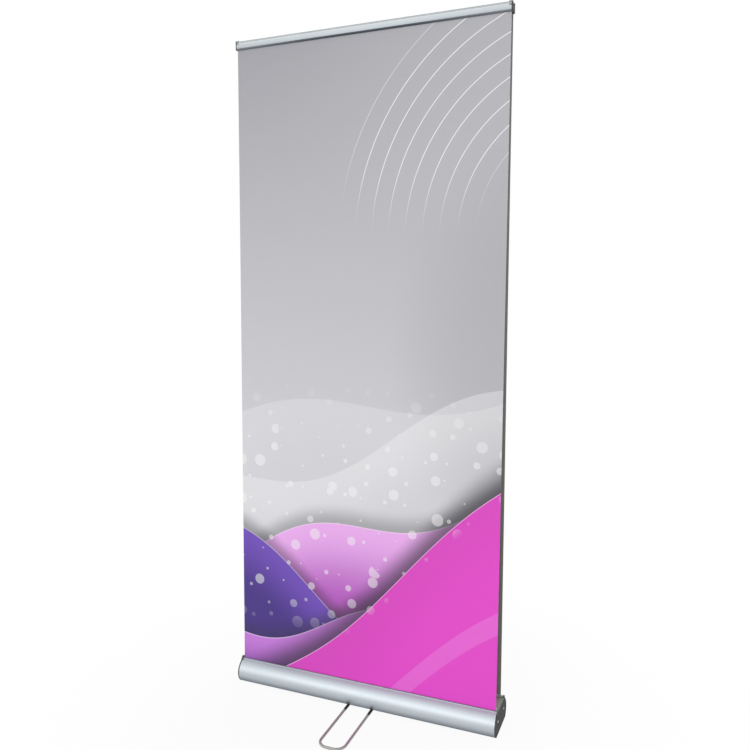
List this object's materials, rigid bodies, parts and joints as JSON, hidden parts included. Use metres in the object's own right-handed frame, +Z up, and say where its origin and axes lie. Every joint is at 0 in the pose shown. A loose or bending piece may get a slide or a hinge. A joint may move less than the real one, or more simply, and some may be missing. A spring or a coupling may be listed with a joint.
{
  "type": "double-sided banner stand",
  "caption": "Roll-up banner stand with a print on each side: floor cassette with spring rollers, telescopic mast, hooked clamping rails and a swivelling wire foot.",
  "frame": {"origin": "on the floor under the mast, at the centre of the base", "axes": "+X along the banner to the right, -Y out of the front print, +Z up"},
  "size_m": [0.8646, 0.5626, 2.059],
  "materials": {
    "base_aluminium": "satin anodised",
    "rail_aluminium": "satin anodised",
    "mast_aluminium": "satin anodised",
    "roller_aluminium": "mill finish",
    "charcoal_plastic": "fine matt grain",
    "rail_cap_plastic": "fine matt grain",
    "white_nylon": "moulded",
    "pad_rubber": "matt",
    "plated_steel": "zinc plated",
    "spring_steel": "oiled",
    "chrome_wire": "satin",
    "film_back": "grey block-out film",
    "printed_film": "satin print on block-out film"
  },
  "bodies": {
    "base": {"base_extrusion": "base_aluminium", "end_cap_left": "charcoal_plastic", "end_cap_right": "charcoal_plastic", "cap_screw_left_front": "plated_steel", "cap_screw_left_rear": "plated_steel", "cap_screw_right_front": "plated_steel", "cap_screw_right_rear": "plated_steel", "pad_left_front": "pad_rubber", "pad_left_rear": "pad_rubber", "pad_right_front": "pad_rubber", "pad_right_rear": "pad_rubber", "mast_socket": "charcoal_plastic", "foot_pivot_screw": "plated_steel", "mast_lower_tube": "mast_aluminium", "lower_collet": "white_nylon", "front_spindle": "plated_steel", "front_idler_pin": "plated_steel", "front_spring": "spring_steel", "front_leader": "film_back", "front_graphic": "printed_film", "rear_spindle": "plated_steel", "rear_idler_pin": "plated_steel", "rear_spring": "spring_steel", "rear_leader": "film_back", "rear_graphic": "printed_film"},
    "foot": {"swivel_plate": "plated_steel", "front_foot_wire": "chrome_wire", "rear_foot_wire": "chrome_wire"},
    "lower_collar": {"lower_collar": "charcoal_plastic"},
    "upper_collar": {"upper_collar": "charcoal_plastic"},
    "mast_middle": {"mast_middle_tube": "mast_aluminium", "middle_guide_bush": "white_nylon", "upper_collet": "white_nylon"},
    "mast_upper": {"mast_upper_tube": "mast_aluminium", "upper_guide_bush": "white_nylon", "mast_head": "charcoal_plastic"},
    "front_roller": {"front_roller_tube": "roller_aluminium", "front_film_roll": "film_back", "front_left_bush": "white_nylon", "front_right_bush": "white_nylon", "front_spring_plug": "white_nylon"},
    "front_rail": {"front_rail_body": "rail_aluminium", "front_rail_cap_left": "rail_cap_plastic", "front_rail_cap_right": "rail_cap_plastic"},
    "front_jaw": {"front_rail_jaw": "rail_aluminium"},
    "rear_roller": {"rear_roller_tube": "roller_aluminium", "rear_film_roll": "film_back", "rear_left_bush": "white_nylon", "rear_right_bush": "white_nylon", "rear_spring_plug": "white_nylon"},
    "rear_rail": {"rear_rail_body": "rail_aluminium", "rear_rail_cap_left": "rail_cap_plastic", "rear_rail_cap_right": "rail_cap_plastic"},
    "rear_jaw": {"rear_rail_jaw": "rail_aluminium"}
  },
  "joints": [
    {"name": "mast_height", "type": "slide", "parent": "base", "child": "mast_upper", "axis": [0, 0, 1], "range_m": [-1.1, 0], "deforming": ["front_graphic", "rear_graphic"]},
    {"name": "mast_middle_slide", "type": "slide", "parent": "base", "child": "mast_middle", "axis": [0, 0, 1], "range_m": [-0.55, 0]},
    {"name": "front_roller_spin", "type": "hinge", "parent": "base", "child": "front_roller", "pos_m": [0, -0.038, 0.047], "axis": [1, 0, 0], "range_deg": [0, 3582]},
    {"name": "rear_roller_spin", "type": "hinge", "parent": "base", "child": "rear_roller", "pos_m": [0, 0.038, 0.047], "axis": [1, 0, 0], "range_deg": [-3582, 0]},
    {"name": "lower_collar_twist", "type": "hinge", "parent": "base", "child": "lower_collar", "pos_m": [0, 0, 0.7515], "axis": [0, 0, 1], "range_deg": [0, 90]},
    {"name": "upper_collar_twist", "type": "hinge", "parent": "mast_middle", "child": "upper_collar", "pos_m": [0, 0, 1.396], "axis": [0, 0, 1], "range_deg": [0, 90]},
    {"name": "foot_swivel", "type": "hinge", "parent": "base", "child": "foot", "pos_m": [0, 0, 0.0075], "axis": [0, 0, 1], "range_deg": [0, 90]},
    {"name": "front_rail_lift", "type": "slide", "parent": "mast_upper", "child": "front_rail", "axis": [0, 0, 1], "range_m": [0, 0.008]},
    {"name": "front_jaw_open", "type": "hinge", "parent": "front_rail", "child": "front_jaw", "pos_m": [0, -0.013, 2.0564], "axis": [-1, 0, 0], "range_deg": [0, 40]},
    {"name": "rear_rail_lift", "type": "slide", "parent": "mast_upper", "child": "rear_rail", "axis": [0, 0, 1], "range_m": [0, 0.008]},
    {"name": "rear_jaw_open", "type": "hinge", "parent": "rear_rail", "child": "rear_jaw", "pos_m": [0, 0.013, 2.0564], "axis": [1, 0, 0], "range_deg": [0, 40]}
  ],
  "couplings": [
    {"joint": "mast_middle_slide", "follows": "mast_height", "ratio": 0.5},
    {"joint": "front_roller_spin", "follows": "mast_height", "rad_per_m": -56.818},
    {"joint": "rear_roller_spin", "follows": "mast_height", "rad_per_m": 56.818}
  ]
}
